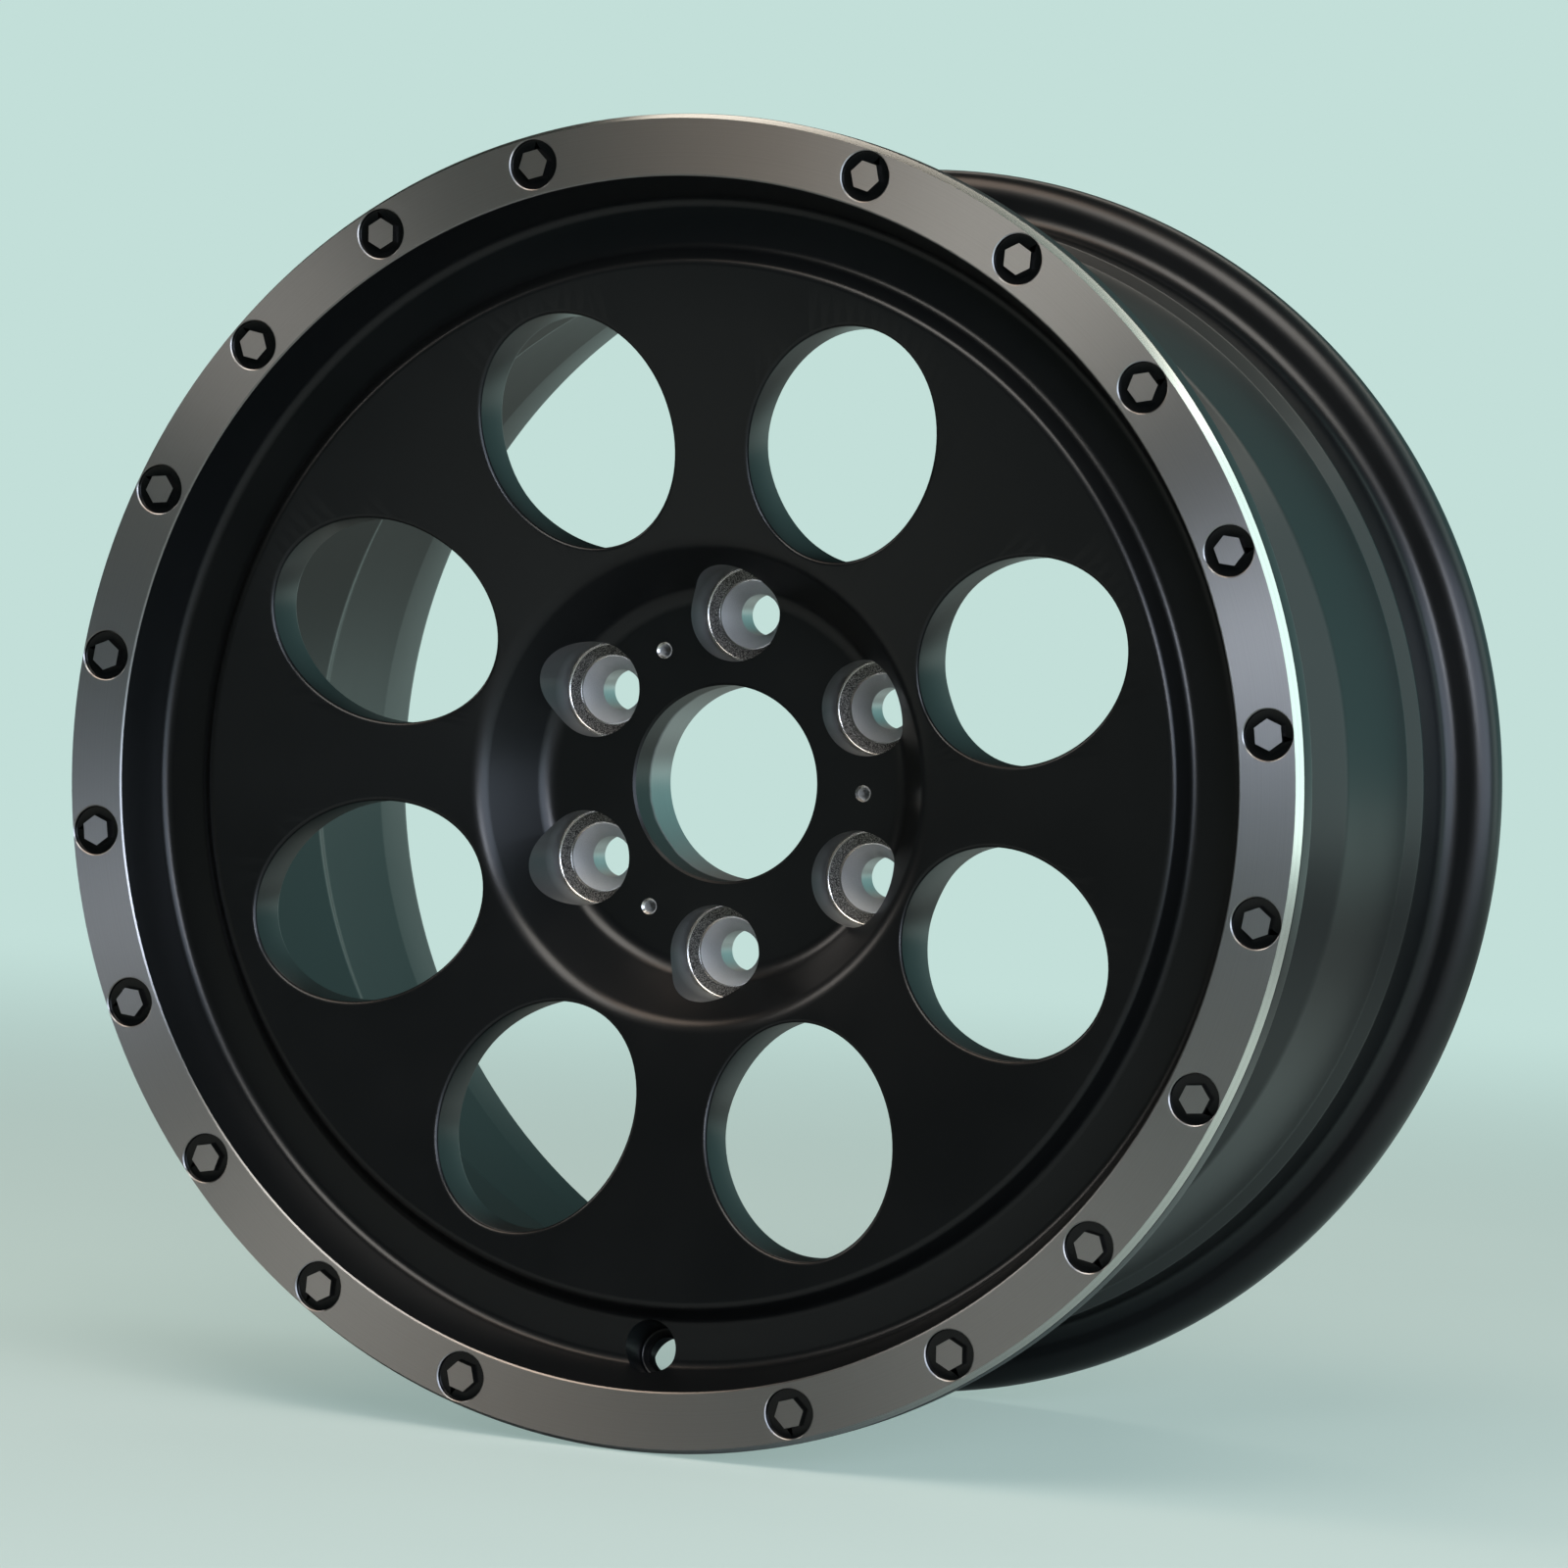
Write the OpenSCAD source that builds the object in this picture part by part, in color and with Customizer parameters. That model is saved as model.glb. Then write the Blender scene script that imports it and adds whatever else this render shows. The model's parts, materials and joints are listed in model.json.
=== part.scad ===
// One-piece forged car wheel with an imitation beadlock ring.
// Depths (names ending in _d) are measured inboard from the ring's outboard face,
// radii (names ending in _r) from the wheel's axis. The axis is Y, the outboard
// face looks along -Y, the valve is at the bottom, and the origin is at mid width.

/* [Rim] */
// Bead seat diameter of the rim
rim_dia = 405.6; // [400:0.1:440]
// Width between the two flanges
rim_width = 203.2; // [178:0.1:241]
// Height of both flanges above the bead seat
flange_height = 17.5; // [15:0.1:20]
// Thickness of the rear flange
rear_flange_t = 12.5; // [10:0.1:15]
// Width of each bead seat up to its hump
seat_width = 20; // [18:0.1:24]
// Slope of the bead seats
seat_angle = 5; // [3:0.5:7]
// Height of the humps above the inner end of the seats
hump_height = 1.2; // [0.5:0.1:2]
// Depth of the drop centre below the bead seat
well_depth = 16.8; // [15:0.1:20]
// Distance from the front flange to the near end of the drop centre
well_start = 36.5; // [33:0.5:45]
// Distance from the front flange to the far end of the drop centre
well_end = 97; // [85:0.5:105]
// Length of the ramp from the drop centre up to the barrel
ramp_len = 19; // [12:0.5:26]
// Depth of the barrel below the bead seat, at the top of the ramp
barrel_depth = 8; // [6:0.1:10]
// Rise of the barrel from the ramp to the rear hump
barrel_rise = 3.5; // [1:0.1:4]
// Wall of the drop centre and the barrel
wall_t = 5.2; // [4.5:0.1:7]
// Length of the slope on either side of a hump
hump_len = 3; // [2:0.1:4]
// Length of the barrel's rise to the rear hump
hump_foot_len = 7.5; // [6:0.5:12]
// Height of the rear lip, from the flange's edge down to the opening
lip_height = 15.8; // [12:0.1:17]

/* [Ring] */
// Thickness of the ring at the front flange
ring_t = 15.5; // [13:0.1:18]
// Radial width of the ring
ring_w = 20.7; // [19:0.1:24]
// Radial width of the polished bevel on the ring's outer edge
bevel_w = 1.8; // [0.5:0.1:3]
// Depth of that bevel
bevel_d = 4.2; // [1:0.1:6]
// Small chamfer on the ring's inner edge
ring_chamfer = 0.5; // [0.2:0.1:1]
// Number of places round the ring, two of them left plain
mark_places = 22; // [16:2:26]
// Diameter of each milled mark
mark_dia = 16.6; // [12:0.1:18]
// Depth of each milled mark
mark_depth = 1.8; // [1:0.1:2.5]
// Distance across the flats of the hexagon left standing in each mark
hex_flats = 9.4; // [7:0.1:10]

/* [Disc] */
// Depth of the channel between the ring and the disc
channel_d = 21; // [18:0.1:22]
// Wall left between the channel floor's outer corner and the bead seat
channel_wall = 9.1; // [8:0.1:11]
// Width of the channel's floor between its corners
channel_w = 15.9; // [12:0.1:18]
// Radial run of the channel's inner side, from the floor up to the disc's edge
channel_side_run = 4.8; // [3:0.1:7]
// Depth of the disc's outer edge
disc_edge_d = 14.2; // [11:0.1:17]
// Depth of the disc at the windows' centres
disc_mid_d = 22.2; // [20:0.1:24]
// Depth of the disc at the edge of the hub recess
disc_inner_d = 32.2; // [28:0.1:34]
// Thickness of the disc at its outer edge
disc_outer_t = 17; // [15:0.1:22]
// Thickness of the disc where its back turns toward the hub
disc_mid_t = 18.3; // [16:0.1:22]
// Thickness of the disc at the windows' inner ends
disc_inner_t = 27.8; // [24:0.1:32]
// Diameter of the circle where the back turns toward the hub
back_turn_dia = 228.6; // [220:0.2:240]

/* [Windows] */
// Number of windows
window_count = 8; // [8:1:9]
// Diameter of the circle that the windows' centres stand on
window_circle_dia = 248.6; // [244:0.2:252]
// Length of a window along the radius
window_length = 79; // [70:0.5:80]
// Width of a window
window_width = 66.6; // [56:0.2:70]
// Rotation of the windows from the top
window_turn = 22.5; // [0:0.5:45]

/* [Hub] */
// Diameter of the centre bore
bore_dia = 66.1; // [60:0.1:72]
// Distance of the mounting face outboard from the middle of the rim
offset_et = 30; // [20:0.5:38]
// Thickness of the hub between its front face and the mounting face
hub_t = 32; // [28:0.1:36]
// Wall between a lug hole and the edge of the mounting face
pad_wall = 6.35; // [5:0.05:8]
// Distance of the hub face's edge outside the lug circle
face_margin = 8.15; // [7:0.05:11]
// Radial run of the recess wall, from the hub face out to the disc
recess_run = 14.7; // [12:0.1:17]
// Chamfer at the front of the bore
bore_chamfer = 0.8; // [0.3:0.1:1.5]
// Chamfer at the rear of the bore, which leads it onto the hub
lead_chamfer = 1.5; // [0.5:0.1:2.5]

/* [Lug holes] */
// Number of lug holes
lug_count = 6; // [5:1:6]
// Pitch circle diameter of the lug holes
lug_pcd = 114.3; // [112:0.1:118]
// Diameter of a lug hole
lug_hole_dia = 14; // [12.5:0.1:15]
// Diameter of the socket pocket above each seat
lug_pocket_dia = 32.2; // [30:0.1:34]
// Depth of the pocket below the hub face
lug_pocket_depth = 13.7; // [10:0.1:15]
// Fillet at the bottom of the pocket
lug_pocket_fillet = 1.1; // [0.5:0.1:2]
// Diameter of the conical seat at its mouth
lug_seat_dia = 23; // [20:0.1:25]
// Full angle of the conical seat
lug_seat_angle = 60; // [60:1:90]
// Fall of the shoulder from the pocket to the seat
lug_shoulder_fall = 0.8; // [0.2:0.1:1.5]

/* [Cap screw holes] */
// Number of cap screw holes
cap_count = 3; // [2:1:6]
// Rotation of the cap screw holes from the top
cap_turn = 30; // [0:1:60]
// Pitch circle diameter of the cap screw holes
cap_pcd = 100; // [94:0.5:104]
// Core diameter of the cap screw holes
cap_core_dia = 4.2; // [3.2:0.1:5]
// Diameter of the countersink on the cap screw holes
cap_sink_dia = 5.6; // [5.2:0.1:7]
// Depth of the cap screw holes
cap_hole_depth = 12; // [8:0.5:14]

/* [Back of the hub] */
// Wall between the bore and the relief pockets that lie between the lug holes
relief_inner_wall = 12.95; // [10:0.05:15]
// Wall between the relief pockets and the edge of the mounting face
relief_outer_wall = 6.5; // [5.5:0.1:9]
// Angle that each relief pocket spans between its end centres
relief_span = 12; // [8:0.5:16]
// Depth of the relief pockets
relief_depth = 9; // [4:0.5:12]

/* [Valve] */
// Diameter of the valve hole
valve_hole_dia = 11.5; // [11.3:0.1:12]
// Diameter of the countersink round the valve hole
valve_sink_dia = 13; // [12.2:0.1:14]
// Diameter of the pocket in front of the valve hole
valve_pocket_dia = 18; // [16:0.1:20]
// Distance of the pocket's centre inside the channel floor's outer corner
valve_inset = 6.1; // [4:0.1:8]
// Lean of the valve hole, outward as it goes inboard
valve_lean = 14; // [8:0.5:18]
// Depth of the pocket below the channel floor, along its axis
valve_pocket_depth = 14; // [11:0.5:15]
// Thickness of the web that the valve clamps
valve_web_t = 4.5; // [3.5:0.1:5.5]
// Diameter of the spot face on the tyre side
valve_spot_dia = 17; // [15:0.1:18]

/* [Fillets] */
// Fillets on both sides of the channel floor
channel_fillet = 4; // [2:0.1:5]
// Radius on the disc's outer edge
disc_edge_radius = 3; // [1:0.1:4]
// Crown of the disc between its edge and the hub recess
disc_crown_radius = 900; // [500:10:1200]
// Radius where the ring's bevel starts
bevel_radius = 0.6; // [0.2:0.1:1]
// Radius where the bevel meets the ring's edge
ring_edge_radius = 2; // [0.5:0.1:3]
// Radius where the disc turns into the hub recess
recess_edge_radius = 9; // [5:0.5:14]
// Fillet at the bottom of the hub recess
recess_fillet = 8; // [4:0.5:10]
// Fillet between a flange and its bead seat
seat_fillet = 6.5; // [4:0.1:7]
// Radius on the tyre side of the ring's edge
ring_back_radius = 4.5; // [2:0.1:6]
// Radius on the tyre side of the rear flange
rear_flange_radius = 9; // [6:0.1:9.5]
// Radii on the rear face of the rear flange
rear_edge_radius = 2.5; // [1:0.1:3]
// Radius inside the rear opening, where the lip meets the barrel
lip_radius = 14; // [6:0.5:18]
// Radius inside the barrel, ahead of the lip
barrel_radius = 20; // [10:1:30]
// Radii of the humps
hump_radius = 3; // [1:0.1:4]
// Radii along the drop centre
well_radius = 10; // [6:0.5:14]
// Fillets on the back of the disc
back_fillet = 10; // [5:0.5:12]
// Radius where the back of the disc turns toward the hub
back_turn_radius = 60; // [30:1:90]
// Radius on the edge of the mounting face
pad_edge_radius = 1.5; // [0.5:0.1:3]

/* [Hidden] */
$fn = 180;

// Turn of one straight piece in a rounded corner, in degrees
arc_step = 7.5;
// Points round a window
window_points = 72;
// Length by which a cutter runs past the face that it cuts
past = 1;
// Share of a side that the fillets at its two ends may fill
fillet_room = 0.98;

// Radii of the rim
seat_r = rim_dia / 2;
flange_r = seat_r + flange_height;
seat_end_r = seat_r - seat_width * tan(seat_angle);
hump_r = seat_end_r + hump_height;
well_r = seat_r - well_depth;
well_inner_r = well_r - wall_t;
ramp_top_r = seat_r - barrel_depth;
barrel_end_r = ramp_top_r + barrel_rise;
lip_r = flange_r - lip_height;

// Depths along the rim
rear_seat_d = ring_t + rim_width;
overall_w = rear_seat_d + rear_flange_t;
front_hump_d = ring_t + seat_width;
rear_hump_d = rear_seat_d - seat_width;
hump_foot_d = rear_hump_d - hump_len - hump_foot_len;
well_start_d = ring_t + well_start;
well_end_d = ring_t + well_end;
ramp_top_d = well_end_d + ramp_len;

// Depths and radii of the hub
pad_d = ring_t + rim_width / 2 - offset_et;
hub_face_d = pad_d - hub_t;
bore_r = bore_dia / 2;
lug_circle_r = lug_pcd / 2;
pad_r = lug_circle_r + lug_hole_dia / 2 + pad_wall;
hub_face_r = lug_circle_r + face_margin;
recess_r = hub_face_r + recess_run;

// Radii of the ring, the channel and the disc
ring_inner_r = flange_r - ring_w;
mark_circle_r = flange_r - ring_w / 2;
channel_outer_r = seat_r - channel_wall;
channel_inner_r = channel_outer_r - channel_w;
disc_r = channel_inner_r - channel_side_run;
window_circle_r = window_circle_dia / 2;
window_in_r = window_circle_r - window_length / 2;
back_turn_r = back_turn_dia / 2;

// Depth of the disc's face at a radius: two straight stretches that meet on the window circle
inner_slope = (disc_inner_d - disc_mid_d) / (window_circle_r - recess_r);
outer_slope = (disc_mid_d - disc_edge_d) / (disc_r - window_circle_r);
function face_d(r) = disc_mid_d + (window_circle_r - r) * (r < window_circle_r ? inner_slope : outer_slope);

// Corners of the section as [radius, depth, fillet], from the bore's front edge outward
front_corners = [
    [bore_r + bore_chamfer, hub_face_d, 0],
    [hub_face_r, hub_face_d, recess_fillet],
    [recess_r, disc_inner_d, recess_edge_radius],
    [window_circle_r, disc_mid_d, disc_crown_radius],
    [disc_r, disc_edge_d, disc_edge_radius],
    [channel_inner_r, channel_d, channel_fillet],
    [channel_outer_r, channel_d, channel_fillet],
    [ring_inner_r, ring_chamfer, 0],
    [ring_inner_r + ring_chamfer, 0, 0],
    [flange_r - bevel_w, 0, bevel_radius],
    [flange_r, bevel_d, ring_edge_radius],
];
tyre_corners = [
    [flange_r, ring_t, ring_back_radius],
    [seat_r, ring_t, seat_fillet],
    [seat_end_r, front_hump_d, hump_radius],
    [hump_r, front_hump_d + hump_len, hump_radius],
    [well_r, well_start_d, well_radius],
    [well_r, well_end_d, well_radius],
    [ramp_top_r, ramp_top_d, well_radius],
    [barrel_end_r, hump_foot_d, hump_radius],
    [hump_r, rear_hump_d - hump_len, hump_radius],
    [seat_end_r, rear_hump_d, hump_radius],
    [seat_r, rear_seat_d, seat_fillet],
    [flange_r, rear_seat_d, rear_flange_radius],
    [flange_r, overall_w, rear_edge_radius],
];
inner_corners = [
    [lip_r, overall_w, rear_edge_radius],
    [seat_r - wall_t, rear_seat_d, lip_radius],
    [barrel_end_r - wall_t, hump_foot_d, barrel_radius],
    [ramp_top_r - wall_t, ramp_top_d, well_radius],
    [well_inner_r, well_end_d, well_radius],
    [well_inner_r, face_d(disc_r) + disc_outer_t, back_fillet],
    [back_turn_r, face_d(back_turn_r) + disc_mid_t, back_turn_radius],
    [window_in_r, face_d(window_in_r) + disc_inner_t, back_fillet],
    [pad_r, pad_d, pad_edge_radius],
    [bore_r + lead_chamfer, pad_d, 0],
    [bore_r, pad_d - lead_chamfer, 0],
    [bore_r, hub_face_d + bore_chamfer, 0],
];
corners = concat(front_corners, tyre_corners, inner_corners);

function unit(v) = v / norm(v);
function short_turn(a) = a > 180 ? a - 360 : (a < -180 ? a + 360 : a);
function corner(list, i) = list[(i + len(list)) % len(list)];
function place(list, i) = [corner(list, i)[0], corner(list, i)[1]];
function half_angle(a, b, c) = acos(unit(a - b) * unit(c - b)) / 2;

// Length of side that the fillet at corner i takes up
function reach(list, i) =
    corner(list, i)[2] / tan(half_angle(place(list, i - 1), place(list, i), place(list, i + 1)));

// Share of their fillets that fits on the side from corner i to the next
function side_share(list, i) =
    let (
        both = reach(list, i) + reach(list, i + 1),
        room = norm(place(list, i + 1) - place(list, i)) * fillet_room
    )
    both > room ? room / both : 1;

// Fillet of corner i, smaller where it would run into its neighbour's
function fillet(list, i) = corner(list, i)[2] * min(side_share(list, i - 1), side_share(list, i));

// Points of one corner: the corner itself, or the arc that rounds it
function corner_points(a, b, c, r) =
    r == 0 ? [b] :
    let (
        u = unit(a - b),
        w = unit(c - b),
        half = half_angle(a, b, c),
        centre = b + unit(u + w) * r / sin(half),
        from = b + u * r / tan(half) - centre,
        to = b + w * r / tan(half) - centre,
        start = atan2(from[1], from[0]),
        turn = short_turn(atan2(to[1], to[0]) - start),
        steps = max(2, ceil(abs(turn) / arc_step))
    )
    [for (i = [0:steps]) centre + r * [cos(start + turn * i / steps), sin(start + turn * i / steps)]];

function outline(list) =
    [for (i = [0:len(list) - 1])
        each corner_points(place(list, i - 1), place(list, i), place(list, i + 1), fillet(list, i))];

// Places a shape that is drawn with +Z inboard at an angle from the top,
// turning to the left as the outboard face is seen
module at(angle, r, d) {
    rotate([0, -angle, 0])
        translate([0, d, r])
            rotate([-90, 0, 0])
                children();
}

// The turned blank: rim, channel, dished disc and hub in one section
module blank() {
    rotate([-90, 0, 0])
        rotate_extrude()
            polygon(outline(corners));
}

module window() {
    points = [for (i = [0:window_points - 1])
        let (a = 360 * i / window_points)
        [window_width / 2 * cos(a), window_length / 2 * sin(a)]];
    linear_extrude(height = pad_d)
        polygon(points);
}

module windows() {
    for (i = [0:window_count - 1])
        at(window_turn + i * 360 / window_count, window_circle_r, 0)
            window();
}

// Socket pocket, shoulder, conical seat and hole in one turned cutter
module lug_hole() {
    pocket_r = lug_pocket_dia / 2;
    seat_mouth_r = lug_seat_dia / 2;
    hole_r = lug_hole_dia / 2;
    shoulder_d = hub_face_d + lug_pocket_depth;
    seat_d = shoulder_d + lug_shoulder_fall;
    cone_d = seat_d + (seat_mouth_r - hole_r) / tan(lug_seat_angle / 2);
    rotate_extrude()
        polygon(concat(
            [[0, 0], [pocket_r, 0]],
            corner_points([pocket_r, 0], [pocket_r, shoulder_d], [seat_mouth_r, seat_d], lug_pocket_fillet),
            [[seat_mouth_r, seat_d], [hole_r, cone_d], [hole_r, pad_d + past], [0, pad_d + past]]
        ));
}

module lug_holes() {
    for (i = [0:lug_count - 1])
        at(i * 360 / lug_count, lug_circle_r, 0)
            lug_hole();
}

module cap_screw_holes() {
    sink = (cap_sink_dia - cap_core_dia) / 2;
    for (i = [0:cap_count - 1])
        at(cap_turn + i * 360 / cap_count, cap_pcd / 2, hub_face_d) {
            translate([0, 0, -past])
                cylinder(h = cap_hole_depth + past, d = cap_core_dia);
            cylinder(h = sink, d1 = cap_sink_dia, d2 = cap_core_dia);
        }
}

// Relief pockets with round ends, milled into the mounting face between the lug holes
module relief_pockets() {
    inner_r = bore_r + relief_inner_wall;
    width = pad_r - relief_outer_wall - inner_r;
    mid_r = inner_r + width / 2;
    for (i = [0:lug_count - 1])
        at((i + 0.5) * 360 / lug_count, 0, pad_d - relief_depth) {
            rotate([0, 0, -90 - relief_span / 2])
                rotate_extrude(angle = relief_span)
                    translate([inner_r, 0])
                        square([width, relief_depth + past]);
            for (side = [-1, 1])
                rotate([0, 0, side * relief_span / 2])
                    translate([0, -mid_r, 0])
                        cylinder(h = relief_depth + past, d = width);
        }
}

// Round milled mark with a hexagon left standing level with the ring
module mark() {
    translate([0, 0, -past])
        difference() {
            cylinder(h = mark_depth + past, d = mark_dia);
            cylinder(h = mark_depth + 2 * past, d = hex_flats / cos(30), $fn = 6);
        }
}

// The marks skip the place at the top and the one at the valve
module marks() {
    half = mark_places / 2;
    for (i = [1:mark_places - 1])
        if (i != half)
            at(i * 360 / mark_places, mark_circle_r, 0)
                mark();
}

// Leaning pocket, countersunk hole and tyre side spot face for the valve
module valve_hole() {
    sink = (valve_sink_dia - valve_hole_dia) / 2;
    at(180, channel_outer_r - valve_inset, channel_d)
        rotate([valve_lean, 0, 0]) {
            translate([0, 0, -channel_fillet - past])
                cylinder(h = valve_pocket_depth + channel_fillet + past, d = valve_pocket_dia);
            cylinder(h = valve_pocket_depth + valve_web_t + past, d = valve_hole_dia);
            translate([0, 0, valve_pocket_depth])
                cylinder(h = sink, d1 = valve_sink_dia, d2 = valve_hole_dia);
            translate([0, 0, valve_pocket_depth + valve_web_t])
                cylinder(h = valve_spot_dia, d = valve_spot_dia);
        }
}

module wheel() {
    color("#1c1e1f")
        translate([0, -overall_w / 2, 0])
            difference() {
                blank();
                windows();
                lug_holes();
                cap_screw_holes();
                relief_pockets();
                marks();
                valve_hole();
            }
}

wheel();
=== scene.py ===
import bpy
import json
import math
from bisect import bisect_left
from mathutils import Matrix, Vector

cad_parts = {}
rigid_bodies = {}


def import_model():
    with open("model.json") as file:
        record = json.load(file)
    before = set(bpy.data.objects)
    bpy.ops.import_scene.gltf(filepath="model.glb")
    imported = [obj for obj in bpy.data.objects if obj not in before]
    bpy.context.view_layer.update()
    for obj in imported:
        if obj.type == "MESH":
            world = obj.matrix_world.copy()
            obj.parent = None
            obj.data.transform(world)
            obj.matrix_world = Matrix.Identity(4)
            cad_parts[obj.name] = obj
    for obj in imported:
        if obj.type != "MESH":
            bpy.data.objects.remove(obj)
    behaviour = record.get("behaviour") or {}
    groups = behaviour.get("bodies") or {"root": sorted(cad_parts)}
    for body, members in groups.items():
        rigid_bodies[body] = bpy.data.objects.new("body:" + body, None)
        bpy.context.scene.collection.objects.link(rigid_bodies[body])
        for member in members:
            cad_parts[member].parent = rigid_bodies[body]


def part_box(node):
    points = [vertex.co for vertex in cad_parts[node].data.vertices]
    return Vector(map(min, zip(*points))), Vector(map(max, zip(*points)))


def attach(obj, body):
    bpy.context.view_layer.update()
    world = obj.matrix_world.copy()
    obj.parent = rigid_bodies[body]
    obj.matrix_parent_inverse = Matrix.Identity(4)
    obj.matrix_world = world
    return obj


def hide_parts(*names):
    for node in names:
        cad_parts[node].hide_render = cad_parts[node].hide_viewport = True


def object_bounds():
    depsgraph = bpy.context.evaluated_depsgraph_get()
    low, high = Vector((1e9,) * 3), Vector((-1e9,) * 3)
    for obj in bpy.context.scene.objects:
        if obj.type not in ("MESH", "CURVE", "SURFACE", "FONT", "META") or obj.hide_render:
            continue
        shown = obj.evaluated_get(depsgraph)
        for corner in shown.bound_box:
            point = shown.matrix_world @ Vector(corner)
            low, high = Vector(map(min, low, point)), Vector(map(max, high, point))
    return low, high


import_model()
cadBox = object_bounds()
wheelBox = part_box("wheel")
scene = bpy.context.scene
mm = 0.001
slack = 0.01  # mm, for telling faces apart by where they lie
weld = 0.002  # mm, points closer than this are one
print("frame loaded, box", [round(v, 4) for v in cadBox[0]], [round(v, 4) for v in cadBox[1]])


# Small helpers

# sRGB hex to linear, for shader sockets
def hexColour(text):
    values = [int(text[i:i + 2], 16) / 255 for i in (1, 3, 5)]
    return tuple(v / 12.92 if v <= 0.04045 else ((v + 0.055) / 1.055) ** 2.4 for v in values) + (1.0,)


def clearSelection():
    if bpy.context.object and bpy.context.object.mode != "OBJECT":
        bpy.ops.object.mode_set(mode="OBJECT")
    bpy.ops.object.select_all(action="DESELECT")


def only(obj):
    clearSelection()
    obj.select_set(True)
    bpy.context.view_layer.objects.active = obj


def applyModifiers(obj):
    only(obj)
    for modifier in list(obj.modifiers):
        bpy.ops.object.modifier_apply(modifier=modifier.name)


# The wheel's own section, in mm: radius from the axis, depth inboard from the ring's outboard face
rim = {
    "flangeHeight": 17.5,
    "rearFlange": 12.5,
    "seatWidth": 20,
    "seatAngle": 5,
    "humpHeight": 1.2,
    "humpLength": 3,
    "humpFoot": 7.5,
    "wellDepth": 16.8,
    "wellStart": 36.5,
    "wellEnd": 97,
    "rampLength": 19,
    "barrelDepth": 8,
    "barrelRise": 3.5,
    "wall": 5.2,
    "lipHeight": 15.8,
    "seatFillet": 6.5,  # between a flange and its seat
    "humpRadius": 3,
    "wellRadius": 10,
    "flangeRadius": 9,  # on the tyre side of the rear flange
    "edgeRadius": 2.5,  # on the rear face of the rear flange
    "lipRadius": 14,
    "barrelRadius": 20,
    "steps": 240,  # straight pieces round the turned blank
    "smoothBelow": 28,  # degrees between two faces that are shaded as one
}
ring = {
    "thickness": 15.5,
    "width": 20.7,
    "chamfer": 0.5,
    "bevelWidth": 1.8,
    "bevelDepth": 4.2,
    "edgeRadius": 2,  # where the bevel meets the outer edge
    "backRadius": 4.5,  # on the tyre side
    "brightTo": 3.6,  # depth to which the bevel is cut bright, before its edge turns round
    "markPlaces": 22,
    "markDia": 16.6,
    "markDepth": 1.8,
    "markRim": 0.35,
    "markFillet": 0.5,
    "markSteps": 48,
    "hexFlats": 9.4,
    "hexEdge": 0.25,  # bare broken edge round each hexagon
    "clear": 3,  # how far a cutter stands out of the wheel, here and in the settings below
    "hexReach": 4,  # more than a mark is deep, and than its cutter stands out
}
disc = {
    "channelDepth": 21,
    "channelWall": 9.1,
    "channelWidth": 15.9,
    "channelRun": 4.8,
    "edgeDepth": 14.2,
    "middleDepth": 22.2,
    "innerDepth": 32.2,
    "outerThickness": 17,
    "middleThickness": 18.3,
    "innerThickness": 27.8,
    "backTurnRadius": 114.3,
    "channelFillet": 4,
    "edgeRadius": 3,
    "crownRadius": 900,
    "backFillet": 10,
    "backTurnFillet": 60,
    "runMargin": 1,  # left out at the outer end of the faces that the windows' edges follow
}
window = {
    "count": 8,
    "circleRadius": 124.3,
    "length": 79,
    "width": 66.6,
    "turn": 22.5,
    "frontEdge": 1.3,
    "backEdge": 1.5,
    "points": 96,
    "clear": 4,
    "clearBack": 10,
}
hub = {
    "boreRadius": 33.05,
    "offset": 30,
    "thickness": 32,
    "padRadius": 70.5,
    "faceRadius": 65.3,
    "recessRadius": 80,
    "recessFillet": 8,  # where the hub face turns into the recess wall
    "recessEdge": 9,  # where that wall turns into the disc
    "padEdge": 1.5,
    "boreChamfer": 0.8,
    "leadChamfer": 1.5,
}

flangeR = wheelBox[1].x / mm
halfWidth = wheelBox[1].y / mm
seatR = flangeR - rim["flangeHeight"]
overallWidth = 2 * halfWidth
rearSeat = overallWidth - rim["rearFlange"]
padDepth = (ring["thickness"] + rearSeat) / 2 - hub["offset"]
hubFace = padDepth - hub["thickness"]
ringInnerR = flangeR - ring["width"]
markCircleR = flangeR - ring["width"] / 2
channelOuterR = seatR - disc["channelWall"]
channelInnerR = channelOuterR - disc["channelWidth"]
discR = channelInnerR - disc["channelRun"]
windowInnerR = window["circleRadius"] - window["length"] / 2


# Depth of the disc's face, two straight stretches that meet on the window circle
def faceDepth(r):
    middle = window["circleRadius"]
    if r < middle:
        slope = (disc["innerDepth"] - disc["middleDepth"]) / (middle - hub["recessRadius"])
    else:
        slope = (disc["middleDepth"] - disc["edgeDepth"]) / (discR - middle)
    return disc["middleDepth"] + (middle - r) * slope


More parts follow.
